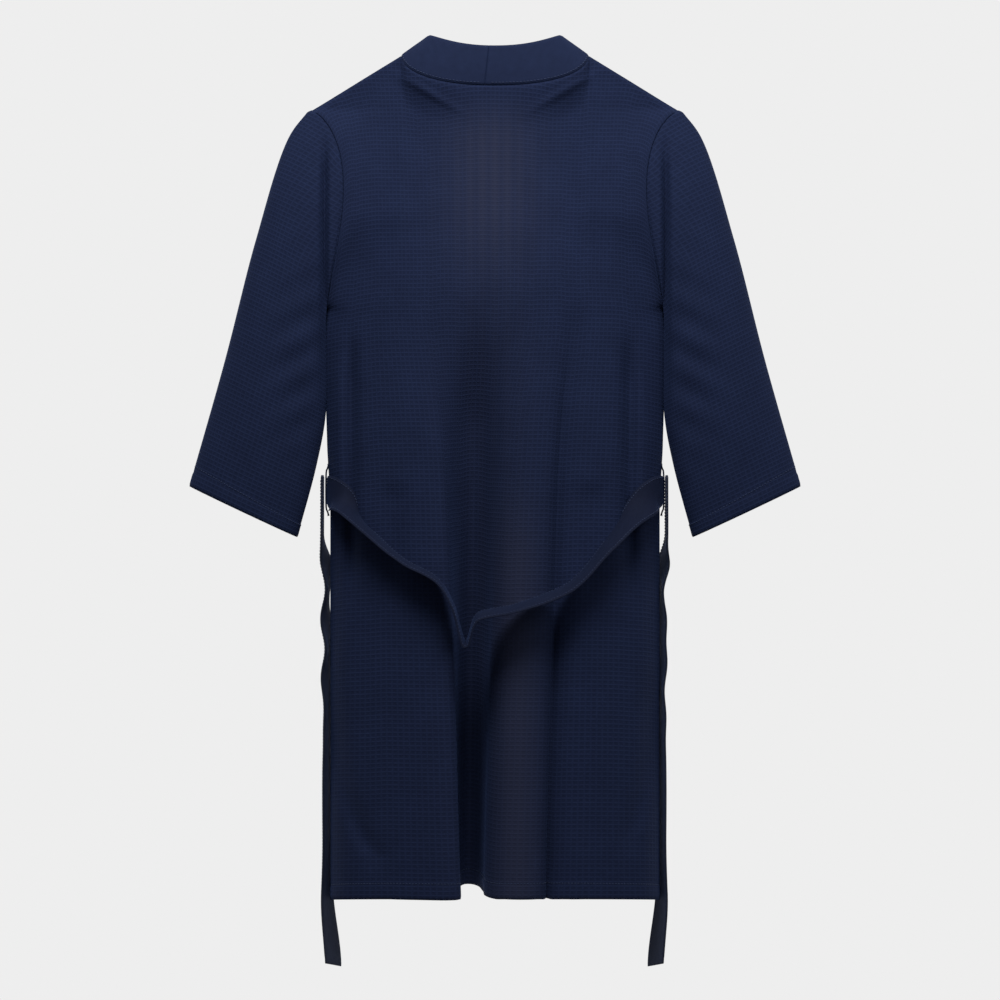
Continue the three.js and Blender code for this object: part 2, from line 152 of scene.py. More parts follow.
def ripple(x, z, seed):
    """Small uneven waves, the same each run: a sum of slanting sines between -1 and 1."""
    draw = np.random.default_rng(seed)
    total = np.zeros(np.broadcast(x, z).shape)
    for _ in range(5):
        across, down = draw.uniform(45, 110), draw.uniform(-7, 7)
        total = total + np.sin(across * x + down * z + draw.uniform(0, 2 * math.pi))
    return total / 5


# ---- The body's shape ---------------------------------------------------------------------------


def armhole_share(z):
    return np.clip((SHOULDER_Z - z) / (SHOULDER_Z - UNDERARM_Z), 0, 1)


def armhole_scoop(share):
    return ARMHOLE_SCOOP * np.sin(math.pi * power(share, ARMHOLE_SKEW))


def straight_half(z):
    share = armhole_share(z)
    chest = lerp(SHOULDER_HALF, CHEST_HALF, share)
    full = 0.0034 * smooth(-z, 0.30, 0.34) * (1 - smooth(-z, 0.46, 0.54))
    waist = lerp(CHEST_HALF, WAIST_HALF, smooth(-z, -UNDERARM_Z, -WAIST_Z)) + full
    return np.where(share < 1, chest, waist)


def side_half(z):
    return straight_half(z) - armhole_scoop(armhole_share(z))


def armhole_depth(z):
    share = armhole_share(z)
    return ARMHOLE_HALF_DEPTH * 2 * np.sqrt(share * (1 - share))


def shoulder_z(x):
    return lerp(NECK_POINT_Z, SHOULDER_Z, (x - NECK_HALF) / (SHOULDER_HALF - NECK_HALF))


def neck_share(x):
    return np.sqrt(np.maximum(0, 1 - power(np.minimum(x / NECK_HALF, 1), NECK_ROUNDNESS)))


def top_z(x):
    return np.where(x < NECK_HALF, lerp(NECK_POINT_Z, BACK_NECK_Z, neck_share(x)), shoulder_z(x))


def back_y(x, z):
    far = np.abs(x)
    across = np.minimum(far / side_half(z), 1)
    full = BACK_DEPTH * (1 - power(across, BACK_ROUNDNESS))
    hang = smooth(-z, -top_z(far), -UNDERARM_Z)
    flare = armhole_depth(z) * power(across, lerp(ARMHOLE_FLARE, 18, smooth(armhole_share(z), 0.5, 1)))
    soft_neck = 0.5 + 0.5 * np.cos(math.pi * np.minimum(far / (1.3 * NECK_HALF), 1))
    neck = lerp(neck_share(far), soft_neck, smooth(top_z(far) - z, 0, 0.05))
    return SEAM_HALF + lerp(NECK_DEPTH * neck, full, hang) + flare


def front_y(x, z):
    width = lerp(CHEST_CORNER, HEM_CORNER, smooth(-z, -UNDERARM_Z, -HEM_Z))
    corner = np.clip((x - side_half(z) + width) / width, 0, 1) ** 2
    hang = smooth(-z, -shoulder_z(np.maximum(x, NECK_HALF)), -FRONT_FLAT_Z)
    return -SEAM_HALF - FRONT_DEPTH * hang * (1 - corner) - armhole_depth(z) * corner


def neck_seam(share):
    """The back neck seam, from the centre back (0) to the neck point (1): x, y, z."""
    turn = share * math.pi / 2
    x = NECK_HALF * power(np.sin(turn), 2 / NECK_ROUNDNESS)
    z = lerp(NECK_POINT_Z, BACK_NECK_Z, np.cos(turn))
    y = SEAM_HALF + NECK_DEPTH * np.cos(turn)
    return np.stack([x, y, z], -1)


# ---- Making cloth -------------------------------------------------------------------------------


def normals_of(points):
    """The way each point of a grid faces: across, then down, seen anticlockwise from outside."""
    across = np.gradient(points, axis=1)
    down = np.gradient(points, axis=0)
    facing = np.cross(down, across)
    return facing / np.maximum(np.linalg.norm(facing, axis=-1, keepdims=True), 1e-12)


def run_down(middle):
    """How far each point of a grid is from the grid's top, measured along the cloth."""
    run = np.linalg.norm(np.diff(middle, axis=0), axis=-1).cumsum(0)
    return np.concatenate([np.zeros((1, run.shape[1])), run])


def rounded(shares, turn):
    """How thick a layer is towards its two edges, rounding off over a share of its width."""
    near = np.clip(np.minimum(shares, 1 - shares) / turn, 0, 1)
    return np.sqrt(np.maximum(0.12, 1 - (1 - near) ** 2))


def smooth_object(name, mesh):
    mesh.polygons.foreach_set("use_smooth", np.ones(len(mesh.polygons), bool))
    mesh.update()
    made = bpy.data.objects.new(name, mesh)
    bpy.context.scene.collection.objects.link(made)
    return made


def mesh_object(name, points, faces, uv, painted_backlights=None):
    mesh = bpy.data.meshes.new(name)
    mesh.from_pydata(np.asarray(points).reshape(-1, 3).tolist(), [], faces.tolist())
    mesh.validate()
    corners = np.empty(len(mesh.loops), np.int32)
    mesh.loops.foreach_get("vertex_index", corners)
    layer = mesh.uv_layers.new(name="cloth")
    layer.data.foreach_set("uv", uv[corners].astype(np.float32).ravel())
    if painted_backlights is not None:
        painted_backlight = mesh.attributes.new("painted_backlight", "FLOAT", "POINT")
        painted_backlight.data.foreach_set("value", np.asarray(painted_backlights, np.float32).ravel())
    return smooth_object(name, mesh)


def layered(name, middle, half, uv, painted_backlights=None, ring=False):
    """
    One closed piece of cloth: its middle surface is a grid, and its two faces lie half a thickness
    to each side. A ring's first and last columns are the same line, so that it closes on itself.
    """
    rows, columns = middle.shape[:2]
    facing = normals_of(middle)
    if ring:
        facing[:, 0] = facing[:, -1] = (facing[:, 0] + facing[:, -1]) / 2
    outer = middle + facing * half[..., None]
    inner = middle - facing * half[..., None]
    points = np.concatenate([outer.reshape(-1, 3), inner.reshape(-1, 3)])
    index = np.arange(rows * columns).reshape(rows, columns)
    if ring:
        index[:, -1] = index[:, 0]
    below = index + rows * columns
    a, b, c, d = index[:-1, :-1], index[:-1, 1:], index[1:, 1:], index[1:, :-1]
    faces = [np.stack([a, d, c, b], -1).reshape(-1, 4)]
    a, b, c, d = below[:-1, :-1], below[:-1, 1:], below[1:, 1:], below[1:, :-1]
    faces.append(np.stack([a, b, c, d], -1).reshape(-1, 4))

    def wall(edge, under, turned):
        quads = np.stack([edge[:-1], edge[1:], under[1:], under[:-1]], -1)
        faces.append(quads[:, ::-1] if turned else quads)

    wall(index[0], below[0], False)
    wall(index[-1], below[-1], True)
    if not ring:
        wall(index[:, 0], below[:, 0], True)
        wall(index[:, -1], below[:, -1], False)
    faces = np.concatenate(faces)
    used = np.unique(faces)
    renumber = np.zeros(len(points), int)
    renumber[used] = np.arange(len(used))
    uv = np.concatenate([uv.reshape(-1, 2)] * 2)[used]
    if painted_backlights is not None:
        painted_backlights = np.concatenate([painted_backlights.ravel()] * 2)[used]
    return mesh_object(name, points[used], renumber[faces], uv, painted_backlights)


STITCH_RINGS = ((0.0, 0.35), (0.25, 1.0), (0.75, 1.0), (1.0, 0.35))  # place along, and fullness
STITCH_TURNS = (90, 162, 234, 306, 18)


def stitches(name, line, facing, length=0.0026, gap=0.0012, width=0.00055, proud=0.0006):
    """A row of stitches along a line that lies on the cloth: each is a small rounded bar of thread."""
    line, facing = np.asarray(line), np.asarray(facing)
    steps = np.linalg.norm(np.diff(line, axis=0), axis=1)
    run = np.concatenate([[0], np.cumsum(steps)])
    starts = np.arange(gap, run[-1] - length, length + gap)

    def at(places, table):
        return np.stack([np.interp(places, run, table[:, i]) for i in range(3)], -1)

    head, tail = at(starts, line), at(starts + length, line)
    along = (tail - head) / np.maximum(np.linalg.norm(tail - head, axis=1, keepdims=True), 1e-9)
    up = at(starts + length / 2, facing)
    up -= along * (up * along).sum(1, keepdims=True)
    up /= np.maximum(np.linalg.norm(up, axis=1, keepdims=True), 1e-9)
    across = np.cross(along, up)
    corners = []
    for share, swell in STITCH_RINGS:
        centre = head + (tail - head) * share
        for turn in np.radians(STITCH_TURNS):
            out = across * math.cos(turn) * width + up * (math.sin(turn) * proud * 0.6)
            corners.append(centre + out * swell + up * proud * 0.35)
    points = np.stack(corners, 1)
    sides, each = len(STITCH_TURNS), len(corners)
    walls = []
    for low in range(0, each - sides, sides):
        for i in range(sides):
            j = (i + 1) % sides
            walls.append([low + i, low + sides + i, low + sides + j, low + j])
    firsts = np.arange(len(starts)) * each
    every = (np.array(walls)[None] + firsts[:, None, None]).reshape(-1, 4)
    caps = []
    for first in firsts.tolist():
        caps.append([first + i for i in range(sides)])
        caps.append([first + each - sides + i for i in reversed(range(sides))])
    mesh = bpy.data.meshes.new(name)
    mesh.from_pydata(points.reshape(-1, 3).tolist(), [], every.tolist() + caps)
    return smooth_object(name, mesh)


def mirror_if(points, side):
    """A grid made for the left side, or its mirror image with the columns in the other order."""
    if side > 0:
        return points
    return points[:, ::-1] * np.array([-1, 1, 1])


def turned(table, side):
    return table if side > 0 else table[:, ::-1]


# ---- Materials ----------------------------------------------------------------------------------


class Nodes:
    """Adds nodes to a material and links them."""

    def __init__(self, name):
        self.material = bpy.data.materials.new(name)
        self.material.use_nodes = True
        self.tree = self.material.node_tree
        self.shader = self.tree.nodes["Principled BSDF"]

    def add(self, kind, **settings):
        node = self.tree.nodes.new(kind)
        for key, value in settings.items():
            setattr(node, key, value)
        return node

    def link(self, source, target):
        self.tree.links.new(source, target)

    def math(self, operation, a, b=None):
        node = self.add("ShaderNodeMath", operation=operation)
        for socket, value in zip(node.inputs, (a, b)):
            if value is None:
                continue
            if isinstance(value, (int, float)):
                socket.default_value = value
            else:
                self.link(value, socket)
        return node.outputs[0]

    def noise(self, place, scale, detail=2.0, roughness=0.5):
        node = self.add("ShaderNodeTexNoise")
        node.inputs["Scale"].default_value = scale
        node.inputs["Detail"].default_value = detail
        node.inputs["Roughness"].default_value = roughness
        self.link(place, node.inputs["Vector"])
        return node.outputs["Fac"]

    def total(self, *parts):
        """Several values added up, each with its own weight."""
        terms = [self.math("MULTIPLY", value, weight) for value, weight in parts]
        whole = terms[0]
        for term in terms[1:]:
            whole = self.math("ADD", whole, term)
        return whole

    def mix(self, share, a, b):
        node = self.add("ShaderNodeMix", data_type="RGBA")
        for socket, value in ((node.inputs[0], share), (node.inputs[6], a), (node.inputs[7], b)):
            if isinstance(value, tuple):
                socket.default_value = (*value, 1)
            elif isinstance(value, (int, float)):
                socket.default_value = value
            else:
                self.link(value, socket)
        return node.outputs[2]

    def ramp(self, value, low, high):
        """The value stretched so that low becomes 0 and high becomes 1."""
        node = self.add("ShaderNodeMapRange")
        node.inputs["From Min"].default_value = low
        node.inputs["From Max"].default_value = high
        self.link(value, node.inputs["Value"])
        return node.outputs["Result"]

    def bump(self, height, distance, strength):
        node = self.add("ShaderNodeBump")
        node.inputs["Strength"].default_value = strength
        node.inputs["Distance"].default_value = distance
        self.link(height, node.inputs["Height"])
        return node.outputs["Normal"]


def cloth_place(nodes):
    """The cloth's own coordinates in metres, whole and as across and down."""
    place = nodes.add("ShaderNodeUVMap", uv_map="cloth").outputs["UV"]
    parts = nodes.add("ShaderNodeSeparateXYZ")
    nodes.link(place, parts.inputs[0])
    return place, parts.outputs[0], parts.outputs[1]


def ridges(nodes, coordinate, pitch, sharpness):
    """Rounded ridges across a coordinate, one to each pitch: 1 on the ridge and 0 between."""
    wave = nodes.math("COSINE", nodes.math("MULTIPLY", coordinate, math.pi / pitch))
    return nodes.math("POWER", nodes.math("ABSOLUTE", wave), sharpness)


SHEEN_TINT = (0.18, 0.32, 0.85)


def fabric(shader, roughness, sheen, tint=SHEEN_TINT):
    shader.inputs["Roughness"].default_value = roughness
    shader.inputs["Specular IOR Level"].default_value = 0.1
    shader.inputs["Sheen Weight"].default_value = sheen
    shader.inputs["Sheen Roughness"].default_value = 0.45
    shader.inputs["Sheen Tint"].default_value = (*tint, 1)


def waffle_knit(name, deep, light, painted_backlit):
    """
    Knitted cotton with a raised grid of cells, with painted light and shade: its ridges are painted
    lighter than its pits. Where one layer hangs against the light it is painted towards the backlit
    colour.
    """
    nodes = Nodes(name)
    place, across, down = cloth_place(nodes)
    upright = ridges(nodes, across, WAFFLE, 7)
    level = ridges(nodes, down, WAFFLE * 0.86, 6)
    grid = nodes.math("MAXIMUM", nodes.math("MULTIPLY", upright, 0.72), level)
    uneven = nodes.noise(place, 24, 3)
    loops = nodes.noise(place, 1500, 2, 0.6)
    slub = nodes.noise(place, 180, 3, 0.6)
    height = nodes.total((grid, 1.0), (loops, 0.45), (slub, 0.25))
    # Painted light and shade: the grid's ridges are painted lighter and its pits darker, mixed with real
    # flecks of loops and slubs.
    fleck = nodes.total((grid, 0.26), (loops, 0.5), (slub, 0.3))
    colour = nodes.mix(nodes.ramp(fleck, 0.15, 0.95), deep, light)
    cloudy = nodes.ramp(uneven, 0.3, 0.7)
    colour = nodes.mix(nodes.math("MULTIPLY", cloudy, 0.25), colour, deep)
    # Painted backlight: this attribute paints the colour lighter where light would shine through one layer
    # of cloth.
    painted_backlight = nodes.add("ShaderNodeAttribute", attribute_name="painted_backlight").outputs["Fac"]
    colour = nodes.mix(nodes.math("MULTIPLY", painted_backlight, 0.55), colour, painted_backlit)
    nodes.link(colour, nodes.shader.inputs["Base Color"])
    nodes.link(nodes.bump(height, 0.0006, 0.42), nodes.shader.inputs["Normal"])
    fabric(nodes.shader, 0.86, 0.07)
    return nodes.material


def smooth_knit(name, deep, light):
    """Plain close knit for the bands and the belt: fine columns of loops and small flecks."""
    nodes = Nodes(name)
    place, across, down = cloth_place(nodes)
    column = ridges(nodes, across, 0.0011, 1)
    row = ridges(nodes, down, 0.0014, 1)
    loops = nodes.noise(place, 1300, 2, 0.6)
    slub = nodes.noise(place, 120, 3, 0.6)
    uneven = nodes.ramp(nodes.noise(place, 30, 3), 0.3, 0.7)
    height = nodes.total((column, 0.5), (row, 0.3), (loops, 0.5))
    fleck = nodes.total((loops, 0.6), (slub, 0.4))
    colour = nodes.mix(nodes.ramp(fleck, 0.25, 0.8), deep, light)
    colour = nodes.mix(nodes.math("MULTIPLY", uneven, 0.25), colour, deep)
    nodes.link(colour, nodes.shader.inputs["Base Color"])
    nodes.link(nodes.bump(height, 0.0003, 0.5), nodes.shader.inputs["Normal"])
    fabric(nodes.shader, 0.82, 0.08)
    return nodes.material


def twill_tape(name, deep, light):
    """Narrow woven tape with slanting ribs."""
    nodes = Nodes(name)
    place, across, down = cloth_place(nodes)
    ribs = ridges(nodes, nodes.total((across, 1.0), (down, 1.6)), 0.0013, 2)
    height = nodes.total((ribs, 1.0), (nodes.noise(place, 1400, 2), 0.4))
    colour = nodes.mix(nodes.ramp(height, 0.2, 1.3), deep, light)
    nodes.link(colour, nodes.shader.inputs["Base Color"])
    nodes.link(nodes.bump(height, 0.0003, 0.6), nodes.shader.inputs["Normal"])
    fabric(nodes.shader, 0.7, 0.1, (0.4, 0.5, 0.8))
    return nodes.material


def satin(name, deep, light):
    """Blank woven satin for the label: fine threads one way, with a soft shine."""
    nodes = Nodes(name)
    place, _, down = cloth_place(nodes)
    fleck = nodes.total((ridges(nodes, down, 0.0005, 1), 0.5), (nodes.noise(place, 500, 3), 0.5))
    colour = nodes.mix(nodes.ramp(fleck, 0.2, 0.8), deep, light)
    nodes.link(colour, nodes.shader.inputs["Base Color"])
    nodes.link(nodes.bump(fleck, 0.0001, 0.5), nodes.shader.inputs["Normal"])
    fabric(nodes.shader, 0.42, 0.1, (1, 1, 1))
    return nodes.material


def thread(name, deep, light):
    """Twisted sewing thread, a little brighter than the cloth."""
    nodes = Nodes(name)
    place = nodes.add("ShaderNodeTexCoord").outputs["Object"]
    twist = nodes.noise(place, 2200, 2)
    colour = nodes.mix(nodes.ramp(twist, 0.3, 0.7), deep, light)
    nodes.link(colour, nodes.shader.inputs["Base Color"])
    nodes.link(nodes.bump(twist, 0.0001, 0.4), nodes.shader.inputs["Normal"])
    fabric(nodes.shader, 0.55, 0.15, (0.5, 0.6, 0.9))
    return nodes.material


# Painted backlight: the lighter, warmer colour painted where light would shine through one layer of the
# back.
PAINTED_BACKLIGHT_COLOUR = (0.0225, 0.0250, 0.0470)
KNIT = waffle_knit("waffle_knit", (0.0030, 0.0056, 0.0190), (0.0135, 0.0225, 0.0640), PAINTED_BACKLIGHT_COLOUR)
BAND_KNIT = smooth_knit("band_knit", (0.0042, 0.0078, 0.0250), (0.0108, 0.0182, 0.0520))
BELT_KNIT = smooth_knit("belt_knit", (0.0026, 0.0043, 0.0135), (0.0072, 0.0108, 0.0290))
# Painted light: the tails are the same belt as the swag, but their knit is painted lighter and greyer.
PAINTED_LIGHTER_TAIL_KNIT = smooth_knit("tail_knit_painted_lighter", (0.0100, 0.0125, 0.0230), (0.0240, 0.0290, 0.0480))
TAPE = twill_tape("twill_tape", (0.0055, 0.0085, 0.019), (0.014, 0.021, 0.046))
LABEL = satin("blank_satin", (0.46, 0.46, 0.44), (0.6, 0.6, 0.58))
THREAD = thread("sewing_thread", (0.011, 0.017, 0.042), (0.026, 0.038, 0.085))


def finish_piece(piece, material, body=None):
    piece.data.materials.append(material)
    if body is not None:
        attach(piece, body)
    return piece


# ---- Back panel ---------------------------------------------------------------------------------

# The hem seen from above, from the wearer's left to the right: two lobes with a deep fold between
# them, and a shallow crease further over.
HEM_LINE = [
    (0.197, 0.0),
    (0.192, 0.022),
    (0.178, 0.042),
    (0.150, 0.058),
    (0.115, 0.070),
    (0.080, 0.077),
    (0.056, 0.079),
    (0.045, 0.075),
    (0.041, 0.066),
    (0.042, 0.050),
    (0.046, 0.022),
    (0.045, -0.010),
    (0.034, -0.027),
    (0.021, -0.018),
    (0.014, 0.008),
    (0.012, 0.036),
    (0.004, 0.056),
    (-0.010, 0.069),
    (-0.030, 0.075),
    (-0.049, 0.070),
    (-0.057, 0.059),
    (-0.061, 0.046),
    (-0.068, 0.056),
    (-0.090, 0.069),
    (-0.120, 0.068),
    (-0.150, 0.057),
    (-0.178, 0.040),
    (-0.192, 0.020),
    (-0.197, 0.0),
]
FOLD_START_Z = -0.26  # where the back's folds begin to open
BACK_FLAT = (0.53, 0.98)
LOBE_LIFT = 0.010  # how far the hem rises where the back stands furthest out
VALLEY_LIFT = 0.016


def evenly(points, shares):
    """Points at even shares of a line's own length."""
    fine = spline(points, np.linspace(0, 1, 1200))
    run = np.concatenate([[0], np.cumsum(np.linalg.norm(np.diff(fine, axis=0), axis=1))])
    run /= run[-1]
    return np.stack([np.interp(shares, run, fine[:, i]) for i in range(2)], -1)


def fold_opening(z):
    """How far the back's folds have opened: not at all at the shoulder blades, and fully at the hem."""
    share = np.clip((FOLD_START_Z - z) / (FOLD_START_Z - HEM_Z), 0, 1)
    return smooth(share, 0, 0.25) * power(share, 0.62)


def dents(x, z):
    """How far the back falls in, away from the smooth shape: side folds and slanting hem shadows."""
    by_arm = 0.013 * smooth(-z, 0.31, 0.40) * (1 - smooth(-z, 0.55, 0.66))
    total = by_arm * (bell(x, 0.171, 0.008) + bell(x, -0.160, 0.009))
    for end, low, high, top_x, low_x in ((1, 0.80, 0.955, 0.190, 0.142), (-1, 0.78, 0.93, 0.187, 0.160)):
        share = np.clip((-z - low) / (high - low), 0, 1)
        line = end * lerp(top_x, low_x, share**2)
        window = smooth(-z, low - 0.06, low + 0.03) * (1 - smooth(-z, high - 0.02, high + 0.035))
        total = total + 0.006 * window * bell(x, line, 0.013)
    pull = smooth(-z, 0.50, 0.53) * (1 - smooth(-z, 0.56, 0.66))
    total = total + 0.004 * pull * (bell(x, 0.120, 0.016) + bell(x, -0.112, 0.018))
    return total


def shoulder_wrinkles(x, z):
    """Fine creases that run from the neck point down towards the shoulder blade."""
    total = np.zeros(x.shape)
    for side in (1, -1):
        for k in range(4):
            start = np.array([side * (0.118 - 0.012 * k), -0.018 - 0.008 * k])
            way = np.array([-side * 0.86, -0.5])
            along = (x - start[0]) * way[0] + (z - start[1]) * way[1]
            off = (x - start[0]) * way[1] - (z - start[1]) * way[0]
            total = total + bell(off, 0, 0.0035) * bell(along, 0.02, 0.03)
    return 0.0011 * total


def back_grid(columns, rows):
    u, v = spread(columns, rows)
    side = 1 - 2 * u
    share = np.abs(side)
    neck = neck_seam(np.clip(share * 2, 0, 1))
    out = lerp(NECK_HALF, SHOULDER_HALF, np.clip(share * 2 - 1, 0, 1))
    top_x = np.where(share < 0.5, neck[..., 0], out)
    top = np.where(share < 0.5, neck[..., 2], shoulder_z(out))
    edge_z = lerp(SHOULDER_Z, HEM_Z, v)
    z = lerp(top, HEM_Z, v)
    spread_x = lerp(top_x / SHOULDER_HALF, share, smooth(v, 0, NECK_FADE))
    scoop = armhole_scoop(armhole_share(edge_z)) * share**SCOOP_FADE
    x = np.sign(side) * (spread_x * straight_half(edge_z) - scoop)
    near_edge = smooth(share, 0.93, 1)
    y = back_y(x, lerp(z, edge_z, near_edge))
    folded = evenly(HEM_LINE, u[0])
    hem_x = side[0] * WAIST_HALF
    hem_y = SEAM_HALF + BACK_DEPTH * (1 - power(share[0], BACK_ROUNDNESS))
    opening = fold_opening(z)
    depth = np.clip(hem_y - folded[:, 1], 0, None) * (share[0] < 0.6)
    x = x + opening * (folded[:, 0] - hem_x)
    y = y + opening * (folded[:, 1] + SEAM_HALF - hem_y)
    y = y - dents(x, z)
    inside = 1 - smooth(share, 0.86, 1)
    loose = smooth(-z, 0.12, 0.9)
    y = y + inside * (0.0008 + 0.0032 * loose) * ripple(side * 0.25, z, 7)
    y = y + inside * shoulder_wrinkles(x, z)
    lift = LOBE_LIFT * np.clip(y / 0.07, 0, 1) + VALLEY_LIFT * np.clip(depth / 0.09, 0, 1)
    z = z + lift * smooth(-z, 0.6, -HEM_Z)
    return np.stack([x, y, z], -1), v, np.sign(side) * spread_x


def hem_relief(distance):
    """Half thickness near a turned-up hem: two layers, pinched at the stitches and round the edge."""
    double = CLOTH_HALF * (1 + 0.75 * (1 - smooth(distance, HEM_DEPTH - 0.001, HEM_DEPTH + 0.0012)))
    pinch = 1 - 0.62 * bell(distance, HEM_DEPTH - 0.0012, 0.0016)
    return double * pinch


def row_line(middle, half, distances, wanted):
    """The outer face's line at one distance from the hem, and which way it faces."""
    facing = normals_of(middle)
    row = int(np.argmin(np.abs(distances.mean(1) - wanted)))
    return middle[row] + facing[row] * half[row][:, None], facing[row]


def painted_backlight_mask(x, z):
    """Painted backlight: 1 where the colour is painted lighter, as if light shone through one layer,
    between the open fronts and on the second lobe.
    """
    stripes = 0.6 + 0.4 * np.cos(x * 210) ** 2
    fading = smooth(-z, 0.03, 0.11) * (1 - 0.72 * smooth(-z, 0.16, 0.30))
    upper = bell(x, 0.004, 0.052) * stripes * fading
    lower = 0.75 * bell(x, -0.026, 0.026) * smooth(-z, 0.48, 0.62)
    return upper + lower


def make_back():
    middle, v, across = back_grid(150, 262)
    run = run_down(middle)
    half = hem_relief(run[-1] - run) * rounded(v, 0.0012)
    uv = np.stack([across * BACK_FLAT[0] / 2, run[-1] - run], -1)
    piece = layered("back_panel_cloth", middle, half, uv, painted_backlight_mask(middle[..., 0], middle[..., 2]))
    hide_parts("back_panel")
    finish_piece(piece, KNIT, "robe_body")
    line, facing = row_line(middle, half, run[-1] - run, HEM_DEPTH)
    hem = stitches("back_hem_stitches", line[2:-2], facing[2:-2])
    finish_piece(hem, THREAD, "robe_body")


# ---- Fronts -------------------------------------------------------------------------------------

FRONT_FLAT = (0.125, 1.0)
BAND_WIDTH = 0.052  # as it shows: the strip is folded lengthwise before it is sewn on
COLLAR_SHARE = 0.33  # share of the band that stays with the robe when the front opens
SEAM_TUCK = 0.0025  # how far a panel's edge runs in under the piece it is sewn to


def front_sway(x, z):
    """The soft upright folds of an open front, which die out towards the shoulder and side seam."""
    free = 1 - np.clip((x - side_half(z) + 0.05) / 0.05, 0, 1) ** 2
    loose = smooth(-z, 0.16, 0.85)
    waves = 0.5 - 0.5 * np.cos((x - 0.052) * 2 * math.pi / 0.064 + 0.9 * np.sin(z * 3.4))
    return free * (0.0095 * loose * waves + 0.0016 * loose * ripple(x, z, 21))


def front_grid(columns, rows):
    u, v = spread(columns, rows)
    top_x = lerp(NECK_HALF - SEAM_TUCK, SHOULDER_HALF, u)
    edge_z = lerp(SHOULDER_Z, HEM_Z, v)
    z = lerp(shoulder_z(top_x), HEM_Z, v)
    settled = smooth(-z, -NECK_POINT_Z, -FRONT_FLAT_Z)
    inner = lerp(NECK_HALF, BAND_SEAM_HALF, settled) - SEAM_TUCK
    x = lerp(inner, side_half(edge_z), u)
    y = front_y(x, lerp(z, edge_z, smooth(u, 0.85, 1))) + front_sway(x, z)
    return np.stack([x, y, z], -1), u, v


def band_grid(columns, rows, start):
    """The band from the join at the back of the neck (start) round and down to the hem."""
    u, v = spread(columns, rows)
    neck = BAND_NECK_SHARE
    round_neck = v < neck
    share = lerp(start, 1, np.clip(v / neck, 0, 1))
    turn = np.abs(share) * math.pi / 2
    seam = neck_seam(np.abs(share))
    seam[..., 0] *= np.sign(share)
    edge_x = np.sign(share) * BAND_CORNER_HALF * power(np.sin(turn), BAND_ROUNDNESS)
    edge_y = SEAM_HALF + BAND_BACK_DEPTH * np.cos(turn)
    edge_z = lerp(BAND_CORNER_Z, BAND_BACK_Z, np.cos(turn) ** 2)
    drop = power(np.clip((v - neck) / (1 - neck), 0, 1), 1.15)
    over = 2 * SEAM_HALF * (1 - smooth(drop, 0, 0.02))

    def down_front(top_x, top, low_x):
        z = lerp(top, HEM_Z, drop)
        x = lerp(top_x, low_x, smooth(-z, -top, -FRONT_FLAT_Z))
        return np.stack([x, front_y(x, z) + over, z], -1)

    seam_front = down_front(NECK_HALF, NECK_POINT_Z, BAND_SEAM_HALF)
    edge_front = down_front(BAND_CORNER_HALF, BAND_CORNER_Z, BAND_EDGE_HALF)
    pick = round_neck[..., None]
    seam_line = np.where(pick, seam, seam_front)
    edge_line = np.where(pick, np.stack([edge_x, edge_y, edge_z], -1), edge_front)
    middle = lerp(edge_line, seam_line, u[..., None])
    middle[..., 1] += np.where(round_neck, 0, front_sway(middle[..., 0], middle[..., 2]))
    swell = 0.0012 * np.sin(math.pi * u) * bell(v, 0, neck)
    middle[..., 1] += swell
    return middle, u, v


def turn_with_front(piece):
    """Bakes a piece's placement into its mesh; the way across the slanting fold is worked out but not
    used.
    """
    across = np.array([FOLD_HEM[1] - FOLD_TOP[1], -(FOLD_HEM[0] - FOLD_TOP[0])])
    across /= np.linalg.norm(across)
    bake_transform(piece)


def make_front(name, side):
    middle, u, v = front_grid(56, 250)
    run = run_down(middle)
    half = hem_relief(run[-1] - run) * rounded(v, 0.0012)
    uv = np.stack([u * FRONT_FLAT[0], run[-1] - run], -1)
    middle = mirror_if(middle, side)
    half, uv, run = turned(half, side), turned(uv, side), turned(run, side)
    piece = layered(f"{name}_front_cloth", middle, half, uv)
    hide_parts(f"{name}_front_panel", f"{name}_front_flap")
    finish_piece(piece, KNIT)
    line, facing = row_line(middle, half, run[-1] - run, HEM_DEPTH)
    hem = stitches(f"{name}_front_hem_stitches", line[1:-1], facing[1:-1])
    finish_piece(hem, THREAD)
    for each in (piece, hem):
        turn_with_front(each)


def make_band(name, side):
    """The band in two stretches: the collar, which stays with the robe, and the free front."""
    middle, u, v = band_grid(16, 420, 0.045 * side)
    middle = mirror_if(middle, side)
    u = turned(u, side)
    half = BAND_HALF * rounded(u, 0.06) * rounded(v, 0.0025)
    run = run_down(middle)
    uv = np.stack([u * BAND_WIDTH, -run], -1)
    facing = normals_of(middle)
    column = int(np.argmin(np.abs(u[0] - 0.93)))
    line = middle[:, column] + facing[:, column] * half[:, column][:, None]
    split = int(COLLAR_SHARE * (len(middle) - 1))
    stretches = (
        ("collar", slice(0, split + 1), ["neck_band"]),
        ("band", slice(split, None), ["neck_band", "front_band"]),
    )
    for part, rows, nodes in stretches:
        piece = layered(f"{name}_{part}_cloth", middle[rows], half[rows], uv[rows])
        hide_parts(*[f"{name}_{node}" for node in nodes])
        finish_piece(piece, BAND_KNIT)
        row = slice(rows.start + 3, -3 if rows.stop is None else rows.stop)
        seam = stitches(f"{name}_{part}_topstitch", line[row], facing[row, column], 0.0028, 0.0014)
        finish_piece(seam, THREAD)
        for each in (piece, seam):
            if part == "collar":
                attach(each, "robe_body")
            else:
                turn_with_front(each)


# ---- Sleeves ------------------------------------------------------------------------------------

